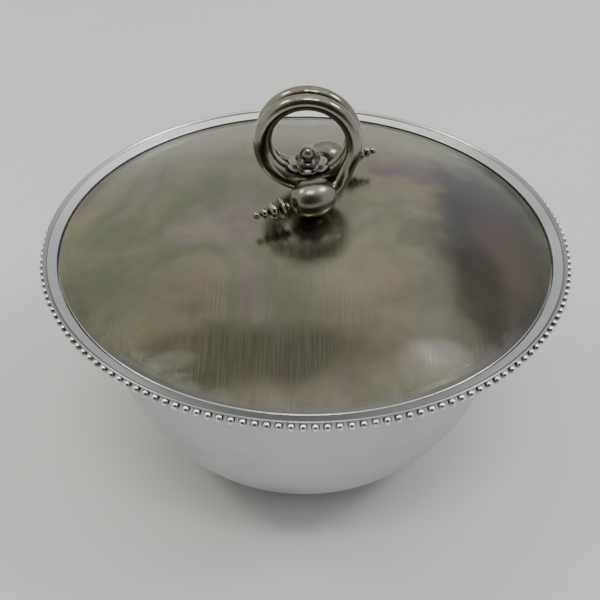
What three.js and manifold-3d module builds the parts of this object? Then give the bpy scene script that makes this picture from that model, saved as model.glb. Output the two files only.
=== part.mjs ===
// Covered sugar bowl in silver: a round-bottomed bowl with a flat rim and a beaded wire,
// and a shallow domed lid whose handle is a two-turn coil ending in buds and graduated beads.
// Millimetres, +Z up. The origin is on the table, under the centre of the bowl.

import * as THREE from 'three';
import { mergeVertices } from 'three/addons/utils/BufferGeometryUtils.js';
import Module from 'manifold-3d';

const wasm = await Module();
wasm.setup();

// ---- Driving dimensions ----

const FACETS = 48;              // facets around each turned piece of the bowl and the lid
const SMALL_FACETS = 14;        // facets around each small turned piece of the handle
const SOLDER_GAP = 0.3;         // clear space between two pieces that the real maker soldered

const BALL_RADIUS = 52.8;       // the bowl's belly is part of a ball of this radius
const BALL_CENTRE_Z = 42.3;
const BODY_WALL = 1.2;
const BODY_TOP_RADIUS = 57.6;   // the side flares out to this radius under the rim
const BODY_TOP_Z = 61.4;

const RIM_Z = 64.5;             // level of the rim's lip, and the datum for rim and lid
const LIP_RADIUS = 65.0;
const LEDGE_INNER_RADIUS = 56.4;
const LEDGE_OUTER_RADIUS = 61.7;
const BEAD_GROOVE_RADIUS = 64.25;   // the flange is turned back to this radius behind the beads

const BEAD_COUNT = 172;         // beads in the wire under the lip
const BEAD_RADIUS = 0.74;
const BEAD_NECK_RADIUS = 0.4;
const BEAD_RING_RADIUS = 65.05;
const BEAD_RING_Z = RIM_Z - 0.5;

const LID_APEX_Z = RIM_Z + 9.1;
const LID_SPHERE_RADIUS = 181.9;
const LID_RADIUS = 59.2;        // where the sheet ends and the edge wire begins
const LID_SHEET = 1.1;
const EDGE_WIRE_RADIUS = 61.0;
const BEZEL_RADIUS = 54.4;      // locating collar under the lid
const BEZEL_DEPTH = 5.0;        // how far the collar reaches below the lip

const HANDLE_X = 0.4;           // the handle stands a little off the lid's centre
const HANDLE_Y = 1.5;
const COIL_RADIUS = 10.75;      // centre line of the ring handle
const COIL_CENTRE_Z = RIM_Z + 24.5;
const COIL_PITCH = 4.25;        // spacing of the two turns
const WIRE_RADIUS = 1.85;       // at the top of the ring
const WIRE_SWELL = 0.8;         // added where the two turns cross, under the flower
const WIRE_SWELL_PLACE = 0.47;  // along the coil, 0 to 1
const WIRE_SWELL_LENGTH = 0.12;
const CROSSING_TOP_Z = COIL_CENTRE_Z - COIL_RADIUS + WIRE_RADIUS + WIRE_SWELL;

const BUD_RADIUS = 4.15;
const BUD_HALF_LENGTH = 5.4;
const BUD_CENTRE_Z = RIM_Z + 13.3;
const BUD_HEADING = new THREE.Vector3(0.878, 0.461, -0.069).normalize();
const BUD_SOCKET = 0.8;         // how far each end of the coil runs into its bud

const STUD_RADIUS = 1.5;        // threaded stud under the handle, through the lid
const STUD_HOLE_RADIUS = 1.7;

// ---- Finishes ----

const SILVER = { metalness: 1.0 };
const satin = () => new THREE.MeshStandardMaterial({ ...SILVER, color: 0xd3d5d4, roughness: 0.42 });
const bright = () => new THREE.MeshStandardMaterial({ ...SILVER, color: 0xc6c5c0, roughness: 0.16 });
const toned = () => new THREE.MeshStandardMaterial({ ...SILVER, color: 0xa39d90, roughness: 0.2 });

// ---- Geometry helpers ----

const polar = (radius, angle) => new THREE.Vector2(radius * Math.cos(angle), radius * Math.sin(angle));

// A turned piece about +Z. The profile holds [radius, height] pairs, counter-clockwise
// with the axis on the left, and either starts and ends on the axis or closes on itself.
function turned(profile, facets = FACETS) {
  const points = profile.map(([radius, height]) => new THREE.Vector2(radius, height));
  return new THREE.LatheGeometry(points, facets).rotateX(Math.PI / 2);
}

function closed(profile) {
  return [...profile, profile[0]];
}

// A round bead or disc about its own Y axis.
function bead(radius, halfLength, steps = 6) {
  const points = [];
  for (let i = 0; i <= steps; i++) {
    const angle = -Math.PI / 2 + (Math.PI * i) / steps;
    const isPole = i === 0 || i === steps;
    points.push(new THREE.Vector2(isPole ? 0 : radius * Math.cos(angle), halfLength * Math.sin(angle)));
  }
  return new THREE.LatheGeometry(points, SMALL_FACETS);
}

// A closed rod along a curve whose radius changes with the distance along it, 0 to 1.
function taperedRod(curve, radiusAt, steps, sides) {
  const frames = curve.computeFrenetFrames(steps, false);
  const positions = [];
  const indices = [];
  for (let i = 0; i <= steps; i++) {
    const centre = curve.getPointAt(i / steps);
    for (let j = 0; j < sides; j++) {
      const offset = polar(radiusAt(i / steps), (2 * Math.PI * j) / sides);
      const point = centre.clone()
        .addScaledVector(frames.normals[i], offset.x)
        .addScaledVector(frames.binormals[i], offset.y);
      positions.push(point.x, point.y, point.z);
    }
  }
  for (let i = 0; i < steps; i++) {
    for (let j = 0; j < sides; j++) {
      const a = i * sides + j;
      const b = i * sides + ((j + 1) % sides);
      indices.push(a, b, b + sides, a, b + sides, a + sides);
    }
  }
  const last = steps * sides;
  for (let j = 1; j < sides - 1; j++) {
    indices.push(0, j + 1, j);
    indices.push(last, last + j, last + j + 1);
  }
  const geometry = new THREE.BufferGeometry();
  geometry.setAttribute('position', new THREE.Float32BufferAttribute(positions, 3));
  geometry.setIndex(indices);
  return geometry;
}

function toSolid(geometry) {
  const bare = geometry.clone();
  bare.deleteAttribute('normal');
  bare.deleteAttribute('uv');
  const merged = mergeVertices(bare, 1e-4);
  const index = merged.index.array;
  const triVerts = [];
  for (let i = 0; i < index.length; i += 3) {
    const [a, b, c] = index.slice(i, i + 3);
    if (a !== b && b !== c && c !== a) triVerts.push(a, b, c);
  }
  return new wasm.Manifold(new wasm.Mesh({
    numProp: 3,
    vertProperties: new Float32Array(merged.attributes.position.array),
    triVerts: new Uint32Array(triVerts),
  }));
}

function cutBy(geometry, cutters) {
  const solid = cutters.reduce((rest, cutter) => rest.subtract(toSolid(cutter)), toSolid(geometry));
  const mesh = solid.getMesh();
  const result = new THREE.BufferGeometry();
  result.setAttribute('position', new THREE.Float32BufferAttribute(mesh.vertProperties, 3));
  result.setIndex(Array.from(mesh.triVerts));
  return result;
}

function named(name, geometry, material) {
  const mesh = new THREE.Mesh(geometry, material);
  mesh.name = name;
  return mesh;
}

// ---- Bowl ----

// One face of the bowl's wall from the floor's edge to the top, moved inwards by inset.
function wallPoints(inset) {
  const radius = BALL_RADIUS - inset;
  const floorAngle = Math.asin((inset - BALL_CENTRE_Z) / radius);
  const side = new THREE.Path();
  side.absarc(0, BALL_CENTRE_Z, radius, floorAngle, 0, false);
  side.bezierCurveTo(
    radius, BALL_CENTRE_Z + 8,
    BODY_TOP_RADIUS - 3 - inset, BODY_TOP_Z - 5,
    BODY_TOP_RADIUS - inset, BODY_TOP_Z,
  );
  return side.getPoints(5).map((point) => [point.x, point.y]);
}

function bowlBody() {
  const outside = wallPoints(0);
  const inside = wallPoints(BODY_WALL).reverse();
  return named('bowl_body', turned([[0, 0], ...outside, ...inside, [0, BODY_WALL]]), satin());
}

function rimFlange() {
  const profile = closed([
    [LEDGE_INNER_RADIUS, BODY_TOP_Z],
    [61.2, BODY_TOP_Z],
    [BEAD_GROOVE_RADIUS, RIM_Z - 1.3],
    [BEAD_GROOVE_RADIUS, RIM_Z + 0.12],
    [LIP_RADIUS, RIM_Z + 0.32],
    [LIP_RADIUS, RIM_Z + 0.52],
    [64.6, RIM_Z + 0.65],
    [64.1, RIM_Z + 0.15],
    [63.85, RIM_Z - 0.2],
    [LEDGE_OUTER_RADIUS, RIM_Z - 1.0],
    [LEDGE_OUTER_RADIUS, RIM_Z - 2.5],
    [LEDGE_INNER_RADIUS, RIM_Z - 2.5],
  ]);
  return named('rim_flange', turned(profile), bright());
}

// The beaded wire is one piece: a thin ring that swells into a bead at every other step.
function beadedWire() {
  const ring = new THREE.EllipseCurve(0, 0, BEAD_RING_RADIUS, BEAD_RING_RADIUS, 0, 2 * Math.PI);
  const steps = 2 * BEAD_COUNT;
  const sides = 5;
  const positions = [];
  const indices = [];
  for (let i = 0; i < steps; i++) {
    const centre = ring.getPoint(i / steps);
    const radius = i % 2 === 0 ? BEAD_RADIUS : BEAD_NECK_RADIUS;
    for (let j = 0; j < sides; j++) {
      const offset = polar(radius, (2 * Math.PI * j) / sides);
      const point = centre.clone().multiplyScalar(1 + offset.x / BEAD_RING_RADIUS);
      positions.push(point.x, point.y, BEAD_RING_Z + offset.y);
      const nextRing = ((i + 1) % steps) * sides;
      const a = i * sides + j;
      const b = i * sides + ((j + 1) % sides);
      indices.push(a, nextRing + j, nextRing + ((j + 1) % sides), a, nextRing + ((j + 1) % sides), b);
    }
  }
  const geometry = new THREE.BufferGeometry();
  geometry.setAttribute('position', new THREE.Float32BufferAttribute(positions, 3));
  geometry.setIndex(indices);
  return named('beaded_wire', geometry, bright());
}

// ---- Lid ----

const domeZ = (radius, apex, sphere) => apex - sphere + Math.sqrt(sphere ** 2 - radius ** 2);

function domePoints(apex, sphere, steps = 6) {
  const points = [];
  for (let i = 0; i <= steps; i++) {
    const radius = (LID_RADIUS * i) / steps;
    points.push([radius, domeZ(radius, apex, sphere)]);
  }
  return points;
}

function lidDome() {
  const top = domePoints(LID_APEX_Z, LID_SPHERE_RADIUS).reverse();
  const underside = domePoints(LID_APEX_Z - LID_SHEET, LID_SPHERE_RADIUS - LID_SHEET);
  const hole = new THREE.CylinderGeometry(STUD_HOLE_RADIUS, STUD_HOLE_RADIUS, 4, 20)
    .rotateX(Math.PI / 2)
    .translate(HANDLE_X, HANDLE_Y, LID_APEX_Z);
  return named('lid_dome', cutBy(turned([...underside, ...top]), [hole]), toned());
}

function lidEdgeWire() {
  const inner = LID_RADIUS + SOLDER_GAP;
  const profile = closed([
    [inner, RIM_Z - 2.45],
    [EDGE_WIRE_RADIUS, RIM_Z - 2.45],
    [EDGE_WIRE_RADIUS, RIM_Z - 1.45],
    [EDGE_WIRE_RADIUS - 0.3, RIM_Z - 1.2],
    [EDGE_WIRE_RADIUS - 0.8, RIM_Z - 1.1],
    [inner, RIM_Z - 0.9],
  ]);
  return named('lid_edge_wire', turned(profile), bright());
}

function lidBezel() {
  const inner = BEZEL_RADIUS - 0.8;
  const underLid = (radius) => domeZ(radius, LID_APEX_Z - LID_SHEET - SOLDER_GAP, LID_SPHERE_RADIUS - LID_SHEET);
  const profile = closed([
    [inner, RIM_Z - BEZEL_DEPTH],
    [BEZEL_RADIUS, RIM_Z - BEZEL_DEPTH],
    [BEZEL_RADIUS, underLid(BEZEL_RADIUS)],
    [inner, underLid(inner)],
  ]);
  return named('lid_bezel', turned(profile), toned());
}

// ---- Handle ----

// Each end of the coil carries a bud and a row of beads, heading away from the ring.
const ENDS = {
  front: {
    centre: new THREE.Vector3(1.4, -6.8, BUD_CENTRE_Z),
    heading: new THREE.Vector3(-BUD_HEADING.x, -BUD_HEADING.y, BUD_HEADING.z),
    leadIn: [[8.95, -2.45, RIM_Z + 17.15], [7.9, -3.1, RIM_Z + 15.3]],
  },
  rear: {
    centre: new THREE.Vector3(5.0, 11.6, BUD_CENTRE_Z),
    heading: BUD_HEADING,
    leadIn: [[-7.9, 6.0, RIM_Z + 17.1], [-5.2, 7.0, RIM_Z + 15.0], [-2.3, 8.1, RIM_Z + 14.0]],
  },
};

const along = (end, distance) => end.centre.clone().addScaledVector(end.heading, distance);

function coilCurve() {
  const turns = [];
  for (let degrees = -30; degrees <= 570; degrees += 20) {
    const offset = polar(COIL_RADIUS, THREE.MathUtils.degToRad(degrees));
    const lean = (COIL_PITCH * (degrees - 270)) / 360;
    turns.push(new THREE.Vector3(HANDLE_X + offset.x, HANDLE_Y + lean, COIL_CENTRE_Z + offset.y));
  }
  const lead = (end) => [
    ...end.leadIn.map((point) => new THREE.Vector3(...point)),
    along(end, -BUD_HALF_LENGTH + BUD_SOCKET),
  ];
  return new THREE.CatmullRomCurve3([...lead(ENDS.front).reverse(), ...turns, ...lead(ENDS.rear)]);
}

function coil(extra = 0) {
  const swell = (t) => WIRE_SWELL * Math.exp(-(((t - WIRE_SWELL_PLACE) / WIRE_SWELL_LENGTH) ** 2));
  return taperedRod(coilCurve(), (t) => WIRE_RADIUS + extra + swell(t), 84, 12);
}

const coilCutter = coil(SOLDER_GAP);

// Turns a piece made about +Y so that it lies along an end's heading.
function placedAlong(geometry, end, distance) {
  const turn = new THREE.Quaternion().setFromUnitVectors(new THREE.Vector3(0, 1, 0), end.heading);
  const place = along(end, distance);
  return geometry.applyQuaternion(turn).translate(place.x, place.y, place.z);
}

// An egg with its blunt end on the coil, hollowed where the coil runs into it.
function bud(end) {
  const steps = 9;
  const profile = [new THREE.Vector2(0, -BUD_HALF_LENGTH)];
  for (let i = 1; i < steps; i++) {
    const angle = (Math.PI * i) / steps;
    const sharpness = 0.65 + (0.35 * i) / steps;
    profile.push(new THREE.Vector2(BUD_RADIUS * Math.sin(angle) ** sharpness, -BUD_HALF_LENGTH * Math.cos(angle)));
  }
  profile.push(new THREE.Vector2(0, BUD_HALF_LENGTH));
  return cutBy(placedAlong(new THREE.LatheGeometry(profile, 18), end, 0), [coilCutter]);
}

// Beads beyond each bud: name, distance along the heading, radius, half length.
const BEAD_ROW = [
  ['collar', 6.1, 1.1, 0.65],
  ['disc', 7.6, 2.75, 0.75],
  ['bead_large', 9.75, 2.05, 1.25],
  ['bead_small', 12.0, 1.4, 0.95],
  ['bead_tip', 13.9, 0.95, 0.85],
];

function endPieces(side) {
  const end = ENDS[side];
  const beads = BEAD_ROW.map(([name, distance, radius, halfLength]) => (
    named(`${side}_${name}`, placedAlong(bead(radius, halfLength), end, distance), bright())
  ));
  return [named(`${side}_bud`, bud(end), bright()), ...beads];
}

// A shallow cup with petals: the rim's radius dips between them.
function petalCup({ base, rimRadius, rimZ, thickness, petals, firstAngle }) {
  const profile = [[0, base], [rimRadius * 0.45, base + 0.1], [rimRadius * 0.8, (base + rimZ) / 2],
    [rimRadius, rimZ], [rimRadius - 0.35, rimZ + thickness * 0.6],
    [rimRadius * 0.72, (base + rimZ) / 2 + thickness], [rimRadius * 0.4, base + thickness + 0.1],
    [0, base + thickness]];
  const geometry = turned(profile, 6 * petals);
  const position = geometry.attributes.position;
  for (let i = 0; i < position.count; i++) {
    const angle = Math.atan2(position.getY(i), position.getX(i)) - firstAngle;
    const reach = Math.hypot(position.getX(i), position.getY(i)) / rimRadius;
    const dip = 1 - Math.abs(Math.cos((petals * angle) / 2)) ** 0.7;
    const factor = 1 - 0.45 * dip * reach;
    position.setX(i, position.getX(i) * factor);
    position.setY(i, position.getY(i) * factor);
  }
  return geometry;
}

function flower() {
  const lower = petalCup({
    base: CROSSING_TOP_Z + SOLDER_GAP, rimRadius: 4.9, rimZ: CROSSING_TOP_Z + 1.3,
    thickness: 0.6, petals: 6, firstAngle: -Math.PI / 2,
  });
  const upper = petalCup({
    base: CROSSING_TOP_Z + 1.6, rimRadius: 3.5, rimZ: CROSSING_TOP_Z + 3.0,
    thickness: 0.55, petals: 5, firstAngle: Math.PI / 2,
  });
  const ballZ = CROSSING_TOP_Z + 4.6;
  const ballProfile = [[0, ballZ - 2.35], [0.7, ballZ - 2.35], [0.8, ballZ - 1.83]];
  for (let i = 3; i < 10; i++) {
    const angle = -Math.PI / 2 + (Math.PI * i) / 10;
    ballProfile.push([2 * Math.cos(angle), ballZ + 2 * Math.sin(angle)]);
  }
  ballProfile.push([0, ballZ + 2]);
  const place = (geometry) => geometry.translate(HANDLE_X, HANDLE_Y, 0);
  return [
    named('flower_leaves', cutBy(place(lower), [coilCutter]), bright()),
    named('flower_petals', cutBy(place(upper), [coilCutter]), bright()),
    named('flower_ball', place(turned(ballProfile, 18)), bright()),
  ];
}

// The pedestal carries the coil's crossing and ends in the stud that holds the handle on.
function handlePost() {
  const foot = LID_APEX_Z + 0.05;
  const tip = LID_APEX_Z - 5.4;
  const profile = [[0, tip], [STUD_RADIUS, tip], [STUD_RADIUS, foot], [3.1, foot], [2.9, foot + 0.7],
    [1.7, foot + 1.4], [1.7, foot + 3.5], [0, foot + 3.5]];
  const post = turned(profile, 20).translate(HANDLE_X, HANDLE_Y, 0);
  return named('handle_post', cutBy(post, [coilCutter]), bright());
}

function fixings() {
  const seat = LID_APEX_Z - LID_SHEET - 0.2;
  const washer = turned(closed([[STUD_HOLE_RADIUS, seat - 0.7], [4.5, seat - 0.7], [4.5, seat],
    [STUD_HOLE_RADIUS, seat]]), 20);
  const outline = new THREE.Shape(Array.from({ length: 6 }, (_, i) => polar(3.4, (Math.PI * i) / 3)));
  outline.holes.push(new THREE.Path().absarc(0, 0, STUD_HOLE_RADIUS, 0, 2 * Math.PI, true));
  const nut = new THREE.ExtrudeGeometry(outline, { depth: 2.2, bevelEnabled: false, curveSegments: 10 });
  nut.translate(HANDLE_X, HANDLE_Y, seat - 0.7 - 2.2 - 0.05);
  washer.translate(HANDLE_X, HANDLE_Y, 0);
  return [named('lid_washer', washer, bright()), named('lid_nut', nut, bright())];
}

// ---- Assembly ----

const bowl = new THREE.Group();
bowl.add(bowlBody(), rimFlange(), beadedWire());

const handle = new THREE.Group();
handle.add(
  named('handle_coil', coil(), toned()),
  ...endPieces('front'),
  ...endPieces('rear'),
  ...flower(),
  handlePost(),
);

const lid = new THREE.Group();
lid.add(lidDome(), lidEdgeWire(), lidBezel(), handle, ...fixings());

const sugarBowl = new THREE.Group();
sugarBowl.add(bowl, lid);

export default sugarBowl;
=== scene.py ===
import math

import bmesh
import bpy
from mathutils import Matrix, Vector, noise

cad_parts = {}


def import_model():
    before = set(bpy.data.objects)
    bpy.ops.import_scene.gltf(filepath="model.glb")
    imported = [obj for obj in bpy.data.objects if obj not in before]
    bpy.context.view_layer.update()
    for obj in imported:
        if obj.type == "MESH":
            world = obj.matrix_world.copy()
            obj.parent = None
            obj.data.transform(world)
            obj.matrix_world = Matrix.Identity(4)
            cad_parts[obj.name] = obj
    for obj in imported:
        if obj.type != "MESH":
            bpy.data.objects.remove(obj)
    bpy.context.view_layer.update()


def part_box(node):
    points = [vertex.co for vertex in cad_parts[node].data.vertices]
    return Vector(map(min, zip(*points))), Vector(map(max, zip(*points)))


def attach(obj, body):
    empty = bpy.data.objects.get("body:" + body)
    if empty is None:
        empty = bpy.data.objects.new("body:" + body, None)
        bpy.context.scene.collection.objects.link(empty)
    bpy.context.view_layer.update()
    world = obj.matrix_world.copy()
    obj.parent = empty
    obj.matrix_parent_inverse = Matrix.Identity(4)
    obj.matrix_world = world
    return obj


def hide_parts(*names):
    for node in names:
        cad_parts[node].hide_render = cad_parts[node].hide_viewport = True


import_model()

MM = 0.001
TAU = 2 * math.pi

# ---------------------------------------------------------------- places read from the frame


def centre(node):
    low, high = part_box(node)
    return (Vector(low) + Vector(high)) / 2


def top(node):
    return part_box(node)[1][2]


LIP_HEIGHT = 0.65                                # the lip stands this far over the rim's level, mm
RIM_Z = top("rim_flange") / MM - LIP_HEIGHT      # the rim's level, mm
HANDLE = centre("flower_ball") / MM              # the handle's upright axis, mm

# ---------------------------------------------------------------- material helpers


def fill_ramp(node, stops):
    """Gives a colour ramp its (place, colour) stops."""
    ramp = node.color_ramp
    ramp.interpolation = "EASE"
    while len(ramp.elements) > 1:
        ramp.elements.remove(ramp.elements[-1])
    ramp.elements[0].position = stops[0][0]
    ramp.elements[0].color = (*stops[0][1], 1)
    for place, colour in stops[1:]:
        ramp.elements.new(place).color = (*colour, 1)
    return node.outputs["Color"]


class Nodes:
    """Short calls for building one material's node tree. Places and distances are in metres."""

    def __init__(self, name):
        self.material = bpy.data.materials.new(name)
        self.material.use_nodes = True
        self.tree = self.material.node_tree
        self.shader = self.tree.nodes["Principled BSDF"]
        coordinates = self.add("ShaderNodeTexCoord")
        self.place = coordinates.outputs["Object"]
        self.uv = coordinates.outputs["UV"]

    def add(self, kind, **settings):
        node = self.tree.nodes.new(kind)
        for key, value in settings.items():
            setattr(node, key, value)
        return node

    def link(self, source, target):
        self.tree.links.new(source, target)

    def across(self):
        """The X and the Y of the place."""
        split = self.add("ShaderNodeSeparateXYZ")
        self.link(self.place, split.inputs["Vector"])
        return split.outputs["X"], split.outputs["Y"]

    def mapping(self, source, scale, location=(0, 0, 0)):
        node = self.add("ShaderNodeMapping")
        node.inputs["Scale"].default_value = scale
        node.inputs["Location"].default_value = location
        self.link(source, node.inputs["Vector"])
        return node.outputs["Vector"]

    def noise(self, vector, scale, detail=3.0, roughness=0.5, distortion=0.0):
        node = self.add("ShaderNodeTexNoise")
        node.inputs["Scale"].default_value = scale
        node.inputs["Detail"].default_value = detail
        node.inputs["Roughness"].default_value = roughness
        node.inputs["Distortion"].default_value = distortion
        self.link(vector, node.inputs["Vector"])
        return node.outputs["Fac"]

    def ramp(self, factor, stops):
        node = self.add("ShaderNodeValToRGB")
        self.link(factor, node.inputs["Fac"])
        return fill_ramp(node, stops)

    def span(self, value, lo, hi, to_lo, to_hi):
        """Eases from to_lo to to_hi as the value goes from lo to hi."""
        node = self.add("ShaderNodeMapRange", interpolation_type="SMOOTHSTEP")
        node.inputs["From Min"].default_value = lo
        node.inputs["From Max"].default_value = hi
        node.inputs["To Min"].default_value = to_lo
        node.inputs["To Max"].default_value = to_hi
        self.link(value, node.inputs["Value"])
        return node.outputs["Result"]

    def math(self, operation, *values):
        node = self.add("ShaderNodeMath", operation=operation)
        for socket, value in zip(node.inputs, values):
            if isinstance(value, (int, float)):
                socket.default_value = value
            else:
                self.link(value, socket)
        return node.outputs["Value"]

    def sum_of_squares(self, a, b):
        return self.math("ADD", self.math("MULTIPLY", a, a), self.math("MULTIPLY", b, b))

    def blend(self, a, share, b):
        """The given share of a, and b for the rest."""
        return self.math("ADD", self.math("MULTIPLY", a, share), self.math("MULTIPLY", b, 1 - share))

    def mix(self, factor, a, b, blend="MIX"):
        node = self.add("ShaderNodeMix", data_type="RGBA", blend_type=blend)
        for socket, value in ((node.inputs[0], factor), (node.inputs[6], a), (node.inputs[7], b)):
            if isinstance(value, (int, float)):
                socket.default_value = value
            elif isinstance(value, tuple):
                socket.default_value = (*value, 1)
            else:
                self.link(value, socket)
        return node.outputs[2]

    def bump(self, height, strength, distance, normal=None):
        node = self.add("ShaderNodeBump")
        node.inputs["Strength"].default_value = strength
        node.inputs["Distance"].default_value = distance
        self.link(height, node.inputs["Height"])
        if normal is not None:
            self.link(normal, node.inputs["Normal"])
        return node.outputs["Normal"]

    def finish(self, colour, roughness, normal=None, metallic=1.0):
        self.shader.inputs["Metallic"].default_value = metallic
        self.link(colour, self.shader.inputs["Base Color"])
        self.link(roughness, self.shader.inputs["Roughness"])
        if normal is not None:
            self.link(normal, self.shader.inputs["Normal"])
        return self.material


# ---------------------------------------------------------------- materials

GRAIN = 0.00002              # how deep the scratches go, metres


def silver(name, light, dark, rough, grain=GRAIN):
    """Worked silver: cloudy tone, fine level scratches, uneven polish."""
    n = Nodes(name)
    clouds = n.noise(n.place, 60, 4, 0.55)
    fine = n.noise(n.place, 700, 3, 0.6)
    colour = n.ramp(n.blend(clouds, 0.75, fine), [(0.32, dark), (0.62, light)])
    roughness = n.span(n.blend(clouds, 0.6, fine), 0.35, 0.65, *rough)
    scratches = n.noise(n.mapping(n.place, (1, 1, 14)), 900, 2, 0.7)
    normal = n.bump(scratches, 0.25, grain)
    normal = n.bump(n.noise(n.place, 180, 2), 0.35, grain * 2, normal)
    return n.finish(colour, roughness, normal)


def bead_silver():
    """Bright on the crown of each bead, with painted shade, nearly black, towards its neighbours, behind and
    underneath, and a painted dark reflection band across its middle.
    """
    n = Nodes("bead_silver")
    # each bead's painted shade, read from its points, with a little random wander added
    painted_shade = n.add("ShaderNodeAttribute", attribute_name="painted_shade").outputs["Fac"]
    painted_light = n.math("ADD", painted_shade, n.span(n.noise(n.place, 500, 2), 0.3, 0.7, -0.12, 0.12))
    bright, grey, black = (0.80, 0.81, 0.82), (0.34, 0.34, 0.33), (0.09, 0.088, 0.08)
    colour = n.ramp(painted_light, [(0.2, bright), (0.5, grey), (0.85, black)])
    roughness = n.span(painted_light, 0.2, 0.9, 0.09, 0.4)
    normal = n.bump(n.noise(n.place, 1400, 2), 0.3, 0.00003)
    return n.finish(colour, roughness, normal)


def flange_silver():
    """Brushed round the rim, with a painted highlight at the back left and painted shade over its outer lip.
    """
    n = Nodes("flange_silver")
    clouds = n.noise(n.place, 45, 4, 0.55)
    brushing = n.noise(n.mapping(n.uv, (3, 900, 1)), 6, 4, 0.6)
    colour = n.ramp(clouds, [(0.3, (0.43, 0.445, 0.46)), (0.7, (0.54, 0.55, 0.56))])
    x, y = n.across()
    # painted highlight, brightest towards the back left
    back_left = n.math("SUBTRACT", y, n.math("MULTIPLY", x, 0.4))
    colour = n.mix(n.span(back_left, 0.01, 0.055, 0.0, 0.75), colour, (0.82, 0.83, 0.82))
    radius = n.math("SQRT", n.sum_of_squares(x, y))
    # painted shade over the outer lip
    colour = n.mix(n.span(radius, 0.0636, 0.0645, 0.0, 0.6), colour, (0.22, 0.22, 0.21))
    roughness = n.span(brushing, 0.3, 0.7, 0.22, 0.34)
    return n.finish(colour, roughness, n.bump(brushing, 0.2, GRAIN))


# The lid's cloudy tarnish, from plum through tan and olive and back.
LID_TONES = [(0.30, (0.20, 0.165, 0.17)), (0.41, (0.26, 0.225, 0.17)), (0.49, (0.245, 0.235, 0.18)),
             (0.57, (0.205, 0.213, 0.155)), (0.66, (0.245, 0.22, 0.20)), (0.76, (0.20, 0.175, 0.19))]

# Its stains, painted highlights and painted dark reflection: middle and reach as x, y in metres, strength,
# colour.
LID_STAINS_AND_PAINTED_LIGHT = [
    ((0.0485, -0.010), (0.0165, 0.045), 0.92, (0.078, 0.073, 0.06)),    # the wide dark one on the right
    ((0.043, 0.004), (0.009, 0.020), 0.5, (0.085, 0.08, 0.105)),        # plum, at its back
    ((0.0475, -0.012), (0.0075, 0.015), 0.6, (0.15, 0.108, 0.088)),     # reddish, in its middle
    ((0.0405, -0.026), (0.006, 0.014), 0.6, (0.05, 0.047, 0.035)),      # nearly black, at its front
    ((-0.0274, -0.0482), (0.0045, 0.002), 0.8, (0.48, 0.47, 0.44)),     # painted highlight, front left
    ((0.0287, -0.0453), (0.006, 0.0028), 0.6, (0.22, 0.215, 0.195)),    # painted highlight, front right
    ((-0.012, -0.0480), (0.028, 0.0078), 0.85, (0.05, 0.047, 0.033)),   # the dark band along the front: tarnish, deepened by painted dark reflection
]
STREAKED_PART = ((-0.008, -0.045), (0.024, 0.016))
STREAK_COLOUR = (0.11, 0.105, 0.075)


def lid_silver():
    """Cloudy tarnish with stains and wiping streaks in front, painted dark reflection and painted highlights
    towards the front, a painted reflection along the front edge and a painted highlight line round the edge.
    """
    n = Nodes("lid_silver")
    x, y = n.across()
    radius = n.math("SQRT", n.sum_of_squares(x, y))

    def spot(middle, reach):
        """1 inside an upright oval with a wandering outline, fading to 0 outside it."""
        across = n.math("DIVIDE", n.math("SUBTRACT", x, middle[0]), reach[0])
        deep = n.math("DIVIDE", n.math("SUBTRACT", y, middle[1]), reach[1])
        wander = n.span(n.noise(n.place, 90, 3), 0.3, 0.7, -0.3, 0.3)
        return n.span(n.math("ADD", n.sum_of_squares(across, deep), wander), 0.1, 1.8, 1.0, 0.0)

    large = n.noise(n.mapping(n.place, (1.25, 0.8, 0.2), location=(0.31, 0.12, 0)), 30, 3, 0.5, 0.6)
    medium = n.noise(n.place, 75, 4, 0.6, 0.4)
    shade = n.ramp(medium, [(0.3, (0.84, 0.84, 0.84)), (0.7, (1.08, 1.06, 1.02))])
    colour = n.mix(1.0, n.ramp(large, LID_TONES), shade, "MULTIPLY")
    # painted dark reflection: the lid gets darker towards the front
    colour = n.mix(n.span(y, -0.006, -0.040, 0.0, 0.40), colour, (0.04, 0.038, 0.03))
    # the list's stains, painted highlights and painted dark reflection
    for middle, reach, strength, patch_colour in LID_STAINS_AND_PAINTED_LIGHT:
        colour = n.mix(n.math("MULTIPLY", spot(middle, reach), strength), colour, patch_colour)
    streaks = n.noise(n.mapping(n.place, (2200, 60, 1)), 1.0, 4, 0.7)
    wiped = n.math("MULTIPLY", spot(*STREAKED_PART), n.span(streaks, 0.38, 0.62, 0.0, 0.6))
    colour = n.mix(wiped, colour, STREAK_COLOUR)
    # painted reflection: a lighter band along the front edge
    ragged = n.math("ADD", radius, n.span(medium, 0.3, 0.7, -0.002, 0.002))
    in_front = n.span(y, -0.03, -0.048, 0.0, 1.0)
    painted_light = n.math("MULTIPLY", n.span(ragged, 0.0578, 0.0603, 0.0, 0.55), in_front)
    colour = n.mix(painted_light, colour, (0.17, 0.17, 0.167))
    # painted highlight line round the outside of the edge
    colour = n.mix(n.span(radius, 0.0611, 0.0613, 0.0, 0.9), colour, (0.55, 0.56, 0.56))
    roughness = n.span(n.blend(streaks, 0.5, medium), 0.35, 0.65, 0.15, 0.27)
    normal = n.bump(streaks, 0.06, GRAIN / 2)
    normal = n.bump(n.noise(n.place, 60, 2), 0.3, 0.0005, normal)
    return n.finish(colour, roughness, normal)


def table_paint():
    n = Nodes("table")
    colour = n.ramp(n.noise(n.place, 3, 3), [(0.3, (0.68, 0.68, 0.675)), (0.7, (0.72, 0.72, 0.715))])
    roughness = n.span(n.noise(n.place, 40, 2), 0.3, 0.7, 0.5, 0.62)
    return n.finish(colour, roughness, metallic=0.0)


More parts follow.
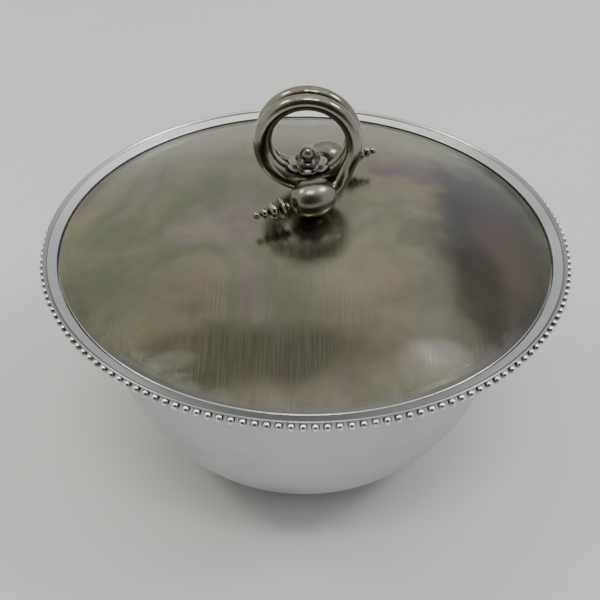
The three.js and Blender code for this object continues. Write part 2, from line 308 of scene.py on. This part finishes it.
TONED = silver("toned_silver", (0.30, 0.28, 0.235), (0.17, 0.155, 0.115), (0.1, 0.17))
BUD = silver("bud_silver", (0.235, 0.22, 0.185), (0.13, 0.12, 0.095), (0.17, 0.27))
FLOWER = silver("flower_silver", (0.38, 0.37, 0.34), (0.22, 0.21, 0.185), (0.22, 0.34), GRAIN * 2.5)
SATIN = silver("satin_silver", (0.58, 0.59, 0.60), (0.51, 0.52, 0.53), (0.42, 0.52))
BEAD = bead_silver()
FLANGE = flange_silver()
LID = lid_silver()

# ---------------------------------------------------------------- mesh helpers

SHARP = 35                   # an edge bent further than this stays sharp, degrees


def new_object(name, bm, material, sharp=SHARP):
    mesh = bpy.data.meshes.new(name)
    bmesh.ops.recalc_face_normals(bm, faces=bm.faces)
    bm.to_mesh(mesh)
    bm.free()
    for polygon in mesh.polygons:
        polygon.use_smooth = True
    mesh.set_sharp_from_angle(angle=math.radians(sharp))
    mesh.materials.append(material)
    obj = bpy.data.objects.new(name, mesh)
    bpy.context.scene.collection.objects.link(obj)
    return obj


def settle(obj, body, node):
    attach(obj, body)
    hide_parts(node)


NO_ROUNDING = 1e-4
CORNER_STEPS = 5


def rounded(corners):
    """The closed outline of (radius, height, rounding) corners, in mm, with each corner rounded off."""
    result = []
    count = len(corners)
    for i, (x, z, rounding) in enumerate(corners):
        here = Vector((x, z))
        back = Vector(corners[i - 1][:2]) - here
        ahead = Vector(corners[(i + 1) % count][:2]) - here
        reach = min(rounding, back.length * 0.45, ahead.length * 0.45)
        if reach < NO_ROUNDING:
            result.append(here)
            continue
        start = here + back.normalized() * reach
        end = here + ahead.normalized() * reach
        for k in range(CORNER_STEPS + 1):
            t = k / CORNER_STEPS
            result.append((1 - t) ** 2 * start + 2 * t * (1 - t) * here + t * t * end)
    return result


ON_AXIS = 1e-6


def lathe(name, profile, segments, material, closed=False, warp=None, sharp=SHARP):
    """Turns [radius, height] points in mm about Z. An open profile starts and ends on the axis."""
    bm = bmesh.new()
    uv_layer = bm.loops.layers.uv.new("UVMap")
    rings = []
    for radius, height in profile:
        if radius < ON_AXIS:
            rings.append([bm.verts.new((0, 0, height * MM))])
            continue
        ring = []
        for j in range(segments):
            angle = TAU * j / segments
            point = Vector((radius * math.cos(angle), radius * math.sin(angle), height))
            if warp:
                point = warp(point)
            ring.append(bm.verts.new(point * MM))
        rings.append(ring)
    count = len(rings)
    for i in range(count if closed else count - 1):
        a, b = rings[i], rings[(i + 1) % count]
        for j in range(segments):
            k = (j + 1) % segments
            corners = [(a[j % len(a)], j, i), (b[j % len(b)], j, i + 1)]
            if len(b) > 1:
                corners.append((b[k], j + 1, i + 1))
            if len(a) > 1:
                corners.append((a[k], j + 1, i))
            if len(corners) < 3:
                continue
            face = bm.faces.new([corner[0] for corner in corners])
            for loop, corner in zip(face.loops, corners):
                loop[uv_layer].uv = (corner[1] / segments, corner[2] / count)
    return new_object(name, bm, material, sharp)


SPAN_STEPS = 24


def catmull(points):
    """A centripetal Catmull-Rom curve through the points, as a dense list."""
    points = [2 * points[0] - points[1], *points, 2 * points[-1] - points[-2]]
    result = []
    for i in range(1, len(points) - 2):
        p = points[i - 1:i + 3]
        knots = [0.0]
        for a, b in zip(p, p[1:]):
            knots.append(knots[-1] + math.sqrt(max((b - a).length, 1e-9)))
        for k in range(SPAN_STEPS):
            t = knots[1] + (knots[2] - knots[1]) * k / SPAN_STEPS

            def between(a, b, i, j):
                return (a * (knots[j] - t) + b * (t - knots[i])) / (knots[j] - knots[i])

            a1, a2, a3 = (between(p[j], p[j + 1], j, j + 1) for j in range(3))
            b1, b2 = between(a1, a2, 0, 2), between(a2, a3, 1, 3)
            result.append(between(b1, b2, 1, 2))
    result.append(points[-2])
    return result


def resample(points, count):
    """The same curve as count equal steps."""
    lengths = [0.0]
    for a, b in zip(points, points[1:]):
        lengths.append(lengths[-1] + (b - a).length)
    result = []
    span = 0
    for i in range(count + 1):
        target = lengths[-1] * i / count
        while span < len(points) - 2 and lengths[span + 1] < target:
            span += 1
        rest = lengths[span + 1] - lengths[span]
        result.append(points[span].lerp(points[span + 1], (target - lengths[span]) / rest))
    return result


def rod(name, path, radius_at, sides, material):
    """A closed rod along the path, in mm, with rotation-minimising rings."""
    bm = bmesh.new()
    uv_layer = bm.loops.layers.uv.new("UVMap")
    count = len(path) - 1
    tangent = (path[1] - path[0]).normalized()
    normal = tangent.orthogonal().normalized()
    rings = []
    for i, point in enumerate(path):
        new_tangent = (path[min(i + 1, count)] - path[max(i - 1, 0)]).normalized()
        normal = tangent.rotation_difference(new_tangent) @ normal
        normal = (normal - new_tangent * normal.dot(new_tangent)).normalized()
        tangent = new_tangent
        side = tangent.cross(normal)
        radius = radius_at(i / count)
        ring = []
        for j in range(sides):
            angle = TAU * j / sides
            outward = normal * math.cos(angle) + side * math.sin(angle)
            ring.append(bm.verts.new((point + outward * radius) * MM))
        rings.append(ring)
    for i in range(count):
        for j in range(sides):
            k = (j + 1) % sides
            face = bm.faces.new((rings[i][j], rings[i][k], rings[i + 1][k], rings[i + 1][j]))
            for loop, (u, v) in zip(face.loops, ((j, i), (j + 1, i), (j + 1, i + 1), (j, i + 1))):
                loop[uv_layer].uv = (u / sides, v / count)
    bm.faces.new(rings[0])
    bm.faces.new(rings[-1])
    return new_object(name, bm, material)


def aim(obj, heading, place):
    """Turns a mesh made about Z so that its axis lies along heading, at place (mm)."""
    turn = Vector((0, 0, 1)).rotation_difference(heading).to_matrix().to_4x4()
    obj.data.transform(Matrix.Translation(place * MM) @ turn)
    return obj


# ---------------------------------------------------------------- bowl

# Sizes are in millimetres from here down to the floor. The wall is a ball below and a flare above.
BALL = 52.8                  # the ball's radius and the level of its middle
BALL_Z = 42.3
WALL = 1.2
TOP_RADIUS = 57.6
TOP_Z = RIM_Z - 3.1
FLARE_START = 8              # how far the flare keeps straight up from the ball
FLARE_END = Vector((3, 5))   # how steeply it arrives at the top
WALL_STEPS = 40
FLARE_STEPS = 20


def wall_points(inset):
    radius = BALL - inset
    start = math.asin((inset - BALL_Z) / radius)
    points = []
    for i in range(WALL_STEPS + 1):
        angle = start * (1 - i / WALL_STEPS)
        points.append(Vector((radius * math.cos(angle), BALL_Z + radius * math.sin(angle))))
    a = Vector((radius, BALL_Z))
    b = Vector((radius, BALL_Z + FLARE_START))
    d = Vector((TOP_RADIUS - inset, TOP_Z))
    c = d - FLARE_END
    for i in range(1, FLARE_STEPS + 1):
        t = i / FLARE_STEPS
        points.append((1 - t) ** 3 * a + 3 * t * (1 - t) ** 2 * b + 3 * t * t * (1 - t) * c + t ** 3 * d)
    return points


def bowl_body():
    outside = wall_points(0)
    inside = wall_points(WALL)[::-1]
    base = outside[0].x
    foot = [Vector(point) for point in ((0, 0), (base * 0.5, 0), (base - 0.6, 0), (base + 0.1, 0.18))]
    profile = foot + outside[1:] + inside + [Vector((0, WALL))]
    settle(lathe("bowl_body_fine", profile, 192, SATIN), "bowl", "bowl_body")


MOUTH = 56.4
LEDGE = 61.7                 # the lid's seat ends here
LIP = 64.9                   # the rim's outside

# (radius, height over the rim's level, rounding), out under the rim, over the lip and back along the seat
RIM_SECTION = [(MOUTH, -3.1, 0.15), (LEDGE - 0.5, -3.1, 0.6), (LIP - 0.6, -1.2, 0.3),
               (LIP - 0.55, -0.1, 0.25), (LIP, 0.15, 0.12), (LIP, 0.5, 0.2), (LIP - 0.4, LIP_HEIGHT, 0.4),
               (LIP - 0.9, 0.15, 0.25), (LIP - 1.05, -0.2, 0.1), (LEDGE, -1.0, 0.2), (LEDGE, -2.5, 0.1),
               (MOUTH, -2.5, 0.15)]


def rim_flange():
    profile = rounded([(radius, RIM_Z + height, rounding) for radius, height, rounding in RIM_SECTION])
    settle(lathe("rim_flange_fine", profile, 256, FLANGE, closed=True, sharp=50), "bowl",
           "rim_flange")


BEADS = 172
BEAD_RING = 65.0
BEAD_SHIFT = 0.15            # the wire sits a little off centre
BEAD_Z = RIM_Z - 0.68
BEAD_RADIUS = 0.9
BEAD_VARIES = 0.04


def bead_painted_shade(local):
    """How much painted shade a place on a bead of radius 1 gets: at its sides, underneath and behind, and a
    painted dark reflection in a band round it.
    """
    # sides, under and behind are painted shade; middle is a painted dark reflection band
    sides = 0.5 * local.y ** 2
    under = 0.7 * max(0.0, -local.z - 0.3)
    behind = 0.3 * max(0.0, -local.x)
    middle = 0.35 * math.exp(-((local.z - 0.2) / 0.3) ** 2)
    return sides + under + behind + middle


def beaded_wire():
    bm = bmesh.new()
    # the painted shade of each point on the beads, for the material to read
    painted_shade = bm.verts.layers.float.new("painted_shade")
    for i in range(BEADS):
        angle = TAU * i / BEADS
        outward = Vector((math.cos(angle), math.sin(angle), 0))
        sideways = Vector((-outward.y, outward.x, 0))
        place = Vector((BEAD_SHIFT, 0, BEAD_Z)) + outward * BEAD_RING
        size = BEAD_RADIUS * (1 + BEAD_VARIES * noise.noise(Vector((i * 0.7, 3.1, 0))))
        made = bmesh.ops.create_uvsphere(bm, u_segments=16, v_segments=10, radius=1.0)
        for vert in made["verts"]:
            local = vert.co.copy()
            vert.co = (place + size * (outward * local.x + sideways * local.y + Vector((0, 0, local.z)))) * MM
            vert[painted_shade] = bead_painted_shade(local)
    settle(new_object("beaded_wire_fine", bm, BEAD, 60), "bowl", "beaded_wire")


# ---------------------------------------------------------------- lid

DOME_RADIUS = 181.9          # the sphere that the dome is part of
APEX = RIM_Z + 9.1
SHEET = 1.1
LID_RADIUS = 59.0
EDGE_RADIUS = 61.3
EDGE_FOOT = RIM_Z - 2.45
EDGE_SHIFT = 0.25            # the lid rests against the front of its seat
BEZEL_INNER = 53.6
BEZEL_OUTER = 54.4
BEZEL_FOOT = RIM_Z - 5
HOLE = 1.7
DOME_STEPS = 60
WANDER = 0.05
WANDER_WAVES = 0.035         # per millimetre
WANDER_FADE = 6              # the dome's edge stays true, and the wander grows over this width


def dome_z(radius):
    return APEX - DOME_RADIUS + math.sqrt(DOME_RADIUS ** 2 - radius ** 2)


def inside_z(radius):
    inner = DOME_RADIUS - SHEET
    return APEX - SHEET - inner + math.sqrt(inner ** 2 - radius ** 2)


def hand_raised(point):
    """The dome isn't perfectly round: its sheet wanders by a few hundredths of a millimetre."""
    place = Vector((point.x, point.y, 0)) * WANDER_WAVES
    fade = min(1.0, (LID_RADIUS - math.hypot(point.x, point.y)) / WANDER_FADE)
    return point + Vector((0, 0, WANDER * fade * noise.noise(place)))


def lid_dome():
    radii = [LID_RADIUS * i / DOME_STEPS for i in range(DOME_STEPS + 1)]
    under = [Vector((radius, inside_z(radius))) for radius in radii]
    over = [Vector((radius, dome_z(radius))) for radius in radii[::-1]]
    obj = lathe("lid_dome_fine", under + over, 256, LID, warp=hand_raised)
    settle(obj, "lid", "lid_dome")


def lid_edge_wire():
    inner = LID_RADIUS + 0.02
    crest = dome_z(LID_RADIUS)
    profile = rounded([(inner, EDGE_FOOT, 0.1), (EDGE_RADIUS, EDGE_FOOT, 0.3),
                       (EDGE_RADIUS, RIM_Z - 1.15, 0.35), (EDGE_RADIUS - 1, crest - 0.42, 0.6),
                       (inner, crest, 0)])

    def forward(point):
        """Moves the edge to the front, and its outside further than its inside."""
        share = min(1.0, (math.hypot(point.x, point.y) - inner) / 2)
        return point - Vector((0, EDGE_SHIFT * share, 0))

    obj = lathe("lid_edge_wire_fine", profile, 256, LID, closed=True, warp=forward, sharp=60)
    settle(obj, "lid", "lid_edge_wire")


def lid_bezel():
    gap = 0.02
    profile = rounded([(BEZEL_INNER, BEZEL_FOOT, 0.25), (BEZEL_OUTER, BEZEL_FOOT, 0.25),
                       (BEZEL_OUTER, inside_z(BEZEL_OUTER) - gap, 0.02),
                       (BEZEL_INNER, inside_z(BEZEL_INNER) - gap, 0.02)])
    obj = lathe("lid_bezel_fine", profile, 192, TONED, closed=True)
    settle(obj, "lid", "lid_bezel")


# ---------------------------------------------------------------- handle

COIL_RADIUS = 10.75
COIL_Z = RIM_Z + 24.5
COIL_PITCH = 4.25
COIL_STEPS = 420
WIRE = 1.85
SWELL = 0.95                 # the rod is this much thicker at its crossing
SWELL_PLACE = 0.47
SWELL_LENGTH = 0.12
CROSSING_ANGLE = 270         # degrees round the coil
CROSSING_LIFT = 0.8          # how far the swelling raises the flower
CROSSING_TOP = COIL_Z - COIL_RADIUS + WIRE + CROSSING_LIFT
BUD_RADIUS = 4.7
BUD_HALF = 5.4
BUD_Z = RIM_Z + 13.3
ROD_DEPTH = 0.8              # how deep the rod's end goes into the bud
HEADING = Vector((0.878, 0.461, -0.069)).normalized()
FRONT_ROW_HEADING = Vector((-0.915, -0.40, -0.05)).normalized()


class End:
    """One end of the coil: its bud, the row of beads beyond it, and the rod's way down to it."""

    def __init__(self, name, centre, heading, row_heading, row_shift, bud_lift, lead_in):
        self.name = name
        self.centre = Vector(centre)
        self.heading = heading
        self.row_heading = row_heading
        self.row_shift = Vector(row_shift)
        self.bud_lift = Vector((0, 0, bud_lift))
        self.lead_in = [Vector(point) for point in lead_in]

    def lead(self):
        """The rod's points from the coil down into the bud."""
        return [*self.lead_in, self.centre + self.heading * (ROD_DEPTH - BUD_HALF)]


ENDS = [
    End("front", (1.7, -6.7, BUD_Z), Vector((-HEADING.x, -HEADING.y, HEADING.z)),
        FRONT_ROW_HEADING, (-0.3, -0.5, 0), 0.4,
        [(8.95, -2.45, RIM_Z + 17.15), (7.9, -3.1, RIM_Z + 15.3)]),
    End("rear", (5.0, 11.6, BUD_Z), HEADING,
        HEADING, (0, 0, 0), 0.2,
        [(-7.9, 6.0, RIM_Z + 17.1), (-5.2, 7.0, RIM_Z + 15.0), (-2.3, 8.1, RIM_Z + 14.0)]),
]


def over_handle(point):
    return point + Vector((HANDLE.x, HANDLE.y, 0))


def coil():
    turns = []
    for degrees in range(-30, 571, 20):
        angle = math.radians(degrees)
        lean = COIL_PITCH * (degrees - CROSSING_ANGLE) / 360
        turns.append(over_handle(Vector((COIL_RADIUS * math.cos(angle), lean,
                                         COIL_Z + COIL_RADIUS * math.sin(angle)))))
    front, rear = ENDS
    path = resample(catmull([*front.lead()[::-1], *turns, *rear.lead()]), COIL_STEPS)

    def radius_at(t):
        return WIRE + SWELL * math.exp(-(((t - SWELL_PLACE) / SWELL_LENGTH) ** 2))

    settle(rod("handle_coil_fine", path, radius_at, 32, TONED), "lid", "handle_coil")


def oval(radius, half, steps, fullness):
    """Half an oval's outline. The fullness at a share of its length is 1 on an ellipse, less if blunter."""
    points = [Vector((0, -half))]
    for i in range(1, steps):
        angle = math.pi * i / steps
        points.append(Vector((radius * math.sin(angle) ** fullness(i / steps), -half * math.cos(angle))))
    return [*points, Vector((0, half))]


def bud(end):
    profile = oval(BUD_RADIUS, BUD_HALF, 36, lambda t: 0.58 + 0.27 * t)
    obj = aim(lathe(end.name + "_bud_fine", profile, 64, BUD), end.heading, end.centre + end.bud_lift)
    settle(obj, "lid", end.name + "_bud")


# (name, distance from the bud's middle, radius, half its length)
ROW = [("collar", 6.1, 1.1, 0.65), ("disc", 7.6, 2.75, 0.75), ("bead_large", 9.75, 2.05, 1.25),
       ("bead_small", 12.0, 1.4, 0.95), ("bead_tip", 13.9, 0.95, 0.85)]


def bead_row(end):
    for name, distance, radius, half in ROW:
        node = end.name + "_" + name
        place = end.centre + end.row_shift + end.row_heading * distance
        profile = oval(radius, half, 24, lambda t: 1)
        obj = aim(lathe(node + "_fine", profile, 40, TONED), end.row_heading, place)
        settle(obj, "lid", node)


PETAL_AROUND = 36
PETAL_RINGS = 9


def petal_point(across, turn, face, length, width, thickness):
    """A place on one petal: across is 0 in its middle and 1 at its edge, face is 1 above and -1 below."""
    u, v = across * math.cos(turn), across * math.sin(turn)
    hollow = 0.42 * across ** 2 - 0.175 * (1 - across ** 2)
    rim = thickness / 2 * math.sqrt(max(0.0, 1 - across ** 6))
    crease = 0.1 * math.exp(-((v / 0.16) ** 2)) * (1 - across)
    return Vector((length * u, width * v * (1 + 0.12 * u), hollow + face * rim - crease))


def petal(bm, place, shape):
    def vert(across, turn, face):
        return bm.verts.new(place @ petal_point(across, turn, face, *shape) * MM)

    turns = [TAU * j / PETAL_AROUND for j in range(PETAL_AROUND)]
    layers = []
    for face in (1, -1):
        middle = vert(0, 0, face)
        reaches = [(i / PETAL_RINGS) ** 0.7 for i in range(1, PETAL_RINGS)]
        loops = [[vert(reach, turn, face) for turn in turns] for reach in reaches]
        layers.append((middle, loops))
    edge = [vert(1, turn, 0) for turn in turns]
    for middle, loops in layers:
        loops.append(edge)
        for j in range(PETAL_AROUND):
            k = (j + 1) % PETAL_AROUND
            bm.faces.new((middle, loops[0][j], loops[0][k]))
            for inner, outer in zip(loops, loops[1:]):
                bm.faces.new((inner[j], outer[j], outer[k], inner[k]))


def petal_ring(name, count, first_angle, hub, reach, tilt, level, shape):
    """A ring of separate round petals, each a small hollowed oval, on a flat hub."""
    bm = bmesh.new()
    for k in range(count):
        place = (Matrix.Translation((HANDLE.x, HANDLE.y, level))
                 @ Matrix.Rotation(first_angle + TAU * k / count, 4, "Z")
                 @ Matrix.Translation((reach, 0, 0)) @ Matrix.Rotation(-tilt, 4, "Y"))
        petal(bm, place, shape)
    flat = Matrix.Diagonal((1, 1, 0.3, 1))
    disc = Matrix.Translation(Vector((HANDLE.x, HANDLE.y, level - 0.1)) * MM) @ flat
    bmesh.ops.create_uvsphere(bm, u_segments=36, v_segments=12, radius=hub * MM, matrix=disc)
    settle(new_object(name + "_fine", bm, FLOWER, 60), "lid", name)


LEAF = (2.15, 2.0, 0.6)      # length, width, thickness
PETAL = (1.5, 1.6, 0.55)
FLOWER_BALL = 2.0
LEAF_Z = CROSSING_TOP + 0.95
PETAL_Z = CROSSING_TOP + 2.3
BALL_TOP_Z = CROSSING_TOP + 6.6


def flower():
    petal_ring("flower_leaves", 6, -math.pi / 2, 2.8, 3.15, 0.25, LEAF_Z, LEAF)
    petal_ring("flower_petals", 5, math.pi / 2, 1.9, 2.3, 0.7, PETAL_Z, PETAL)
    ball_z = BALL_TOP_Z - FLOWER_BALL
    stem_z = ball_z - 2.6
    profile = [Vector((0, stem_z)), Vector((0.7, stem_z)), Vector((0.75, ball_z - 1.95))]
    steps = 30
    for i in range(5, steps):
        angle = -math.pi / 2 + math.pi * i / steps
        profile.append(Vector((FLOWER_BALL * math.cos(angle), ball_z + FLOWER_BALL * math.sin(angle))))
    profile.append(Vector((0, BALL_TOP_Z)))
    obj = lathe("flower_ball_fine", profile, 48, FLOWER, warp=over_handle)
    settle(obj, "lid", "flower_ball")


def handle_post():
    foot = APEX + 0.02
    stud = 1.5
    bottom = foot - 5.4
    head = foot + 2.6
    profile = rounded([(0, bottom, 0), (stud, bottom, 0.2), (stud, foot, 0.1), (3.1, foot, 0.25),
                       (2.95, foot + 0.6, 0.3), (1.9, foot + 1.2, 0.6), (1.6, head, 0.2), (0, head, 0)])
    obj = lathe("handle_post_fine", profile, 48, TONED, warp=over_handle)
    settle(obj, "lid", "handle_post")


def six_sided(point):
    """Turns the nut's round outside into six flats, and leaves its hole round."""
    radius = math.hypot(point.x, point.y)
    if radius <= HOLE + 0.4:
        return over_handle(point)
    half_side = math.pi / 6
    corner = math.atan2(point.y, point.x) % (2 * half_side) - half_side
    flat = math.cos(half_side) / math.cos(corner)
    return over_handle(Vector((point.x * flat, point.y * flat, point.z)))


def fixings():
    """The washer and the nut under the lid."""
    seat = APEX - SHEET - 0.1
    washer, washer_height = 4.5, 0.8
    under = seat - washer_height
    ring = rounded([(HOLE, under, 0.2), (washer, under, 0.2), (washer, seat, 0.2), (HOLE, seat, 0.2)])
    obj = lathe("lid_washer_fine", ring, 48, TONED, closed=True, warp=over_handle)
    settle(obj, "lid", "lid_washer")
    nut, nut_height = 3.4, 2.2
    over = under - 0.05
    outline = rounded([(HOLE, over - nut_height, 0.1), (nut, over - nut_height, 0.3), (nut, over, 0.3),
                       (HOLE, over, 0.1)])
    obj = lathe("lid_nut_fine", outline, 72, TONED, closed=True, warp=six_sided)
    settle(obj, "lid", "lid_nut")


bowl_body()
rim_flange()
beaded_wire()
lid_dome()
lid_edge_wire()
lid_bezel()
coil()
for end in ENDS:
    bud(end)
    bead_row(end)
flower()
handle_post()
fixings()

# ---------------------------------------------------------------- floor, light, camera


def floor():
    bm = bmesh.new()
    bmesh.ops.create_grid(bm, x_segments=8, y_segments=8, size=3.0)
    new_object("table_top", bm, table_paint())


def area_light(name, place, target, size, power, colour):
    data = bpy.data.lights.new(name, "AREA")
    data.shape = "RECTANGLE"
    data.size, data.size_y = size
    data.energy = power
    data.color = colour
    obj = bpy.data.objects.new(name, data)
    bpy.context.scene.collection.objects.link(obj)
    obj.location = place
    obj.rotation_euler = (Vector(target) - Vector(place)).to_track_quat("-Z", "Y").to_euler()


COOL = (0.97, 0.98, 1.0)
LID_MIDDLE = (0, 0, 0.06)

# name, place, target and size in metres, watts, colour
LIGHTS = [
    ("panel_back", (0.13, 0.46, 0.86), LID_MIDDLE, (0.22, 0.18), 0.05, COOL),
    ("side_left", (-0.40, 0.2, 0.92), LID_MIDDLE, (0.08, 0.06), 0.03, (1.0, 0.97, 0.86)),
    ("side_right", (0.40, 0.2, 0.92), LID_MIDDLE, (0.1, 0.06), 0.05, (0.96, 0.98, 1.0)),
    ("window_right", (0.62, 0.0, 0.83), LID_MIDDLE, (0.22, 0.22), 2.0, COOL),
    ("window_left", (-0.62, 0.05, 0.83), LID_MIDDLE, (0.18, 0.2), 1.4, (1.0, 0.96, 0.84)),
    ("overhead", (0.0, -0.36, 1.08), (0, -0.05, 0.0), (0.4, 0.06), 2.5, (1.0, 0.99, 0.96)),
]


def grey(value):
    return (value, value, value)


# The surroundings' brightness by height, towards the front, and their tint from left to right.
BY_HEIGHT = [(0.0, grey(0.85)), (0.3, grey(0.74)), (0.6, grey(0.82)), (0.9, grey(1.1)), (1.0, grey(1.2))]
BY_FRONT = [(0.74, grey(1)), (0.88, grey(0.2)), (1.0, grey(0.06))]
BY_SIDE = [(0.1, (0.93, 0.95, 0.86)), (0.5, (0.98, 0.98, 0.96)), (0.9, (1.0, 1.02, 1.08))]
DARK_HEADING = (0, -0.97, 0.24)
SURROUNDINGS = 1.05


def world():
    """Soft light from all round, brightest overhead and darkest low in front."""
    data = bpy.data.worlds.new("studio")
    bpy.context.scene.world = data
    data.use_nodes = True
    tree = data.node_tree
    background = tree.nodes["Background"]
    heading = tree.nodes.new("ShaderNodeTexCoord").outputs["Generated"]
    split = tree.nodes.new("ShaderNodeSeparateXYZ")
    tree.links.new(heading, split.inputs["Vector"])

    def ramp(source, stops):
        node = tree.nodes.new("ShaderNodeValToRGB")
        tree.links.new(source, node.inputs["Fac"])
        return fill_ramp(node, stops)

    def unit(source):
        """Takes -1 to 1 into 0 to 1."""
        node = tree.nodes.new("ShaderNodeMapRange")
        node.inputs["From Min"].default_value = -1
        tree.links.new(source, node.inputs["Value"])
        return node.outputs["Result"]

    def multiply(a, b):
        node = tree.nodes.new("ShaderNodeMix")
        node.data_type = "RGBA"
        node.blend_type = "MULTIPLY"
        node.inputs[0].default_value = 1
        tree.links.new(a, node.inputs[6])
        tree.links.new(b, node.inputs[7])
        return node.outputs[2]

    toward_front = tree.nodes.new("ShaderNodeVectorMath")
    toward_front.operation = "DOT_PRODUCT"
    toward_front.inputs[1].default_value = DARK_HEADING
    tree.links.new(heading, toward_front.inputs[0])
    light = multiply(ramp(split.outputs["Z"], BY_HEIGHT), ramp(unit(toward_front.outputs["Value"]), BY_FRONT))
    light = multiply(light, ramp(unit(split.outputs["X"]), BY_SIDE))
    tree.links.new(light, background.inputs["Color"])
    background.inputs["Strength"].default_value = SURROUNDINGS


# The camera looks at the middle of the rim from the front and above.
CAM_ELEVATION = math.radians(35.58)
CAM_DISTANCE = 3.145 * 65.0  # in mm, 3.145 radii of the rim
CAM_PITCH = math.radians(-5.12)
CAM_YAW = math.radians(-0.30)
CAM_ROLL = math.radians(0.81)
CAM_LENS = 48.0


def swing(a, b, angle):
    """Turns two unit vectors in their own plane, a towards b."""
    c, s = math.cos(angle), math.sin(angle)
    return c * a + s * b, c * b - s * a


def camera():
    back = Vector((0, -math.cos(CAM_ELEVATION), math.sin(CAM_ELEVATION)))
    forward = -back
    right = Vector((1, 0, 0))
    forward, up = swing(forward, right.cross(forward), CAM_PITCH)
    forward, right = swing(forward, right, CAM_YAW)
    right, up = swing(right, up, CAM_ROLL)
    data = bpy.data.cameras.new("camera")
    data.lens = CAM_LENS
    data.sensor_width = 36
    data.clip_start = 0.01
    obj = bpy.data.objects.new("camera", data)
    bpy.context.scene.collection.objects.link(obj)
    place = (back * CAM_DISTANCE + Vector((0, 0, RIM_Z))) * MM
    turn = Matrix((right, up, -forward)).transposed().to_4x4()
    obj.matrix_world = Matrix.Translation(place) @ turn
    bpy.context.scene.camera = obj


floor()
for light in LIGHTS:
    area_light(*light)
world()
camera()
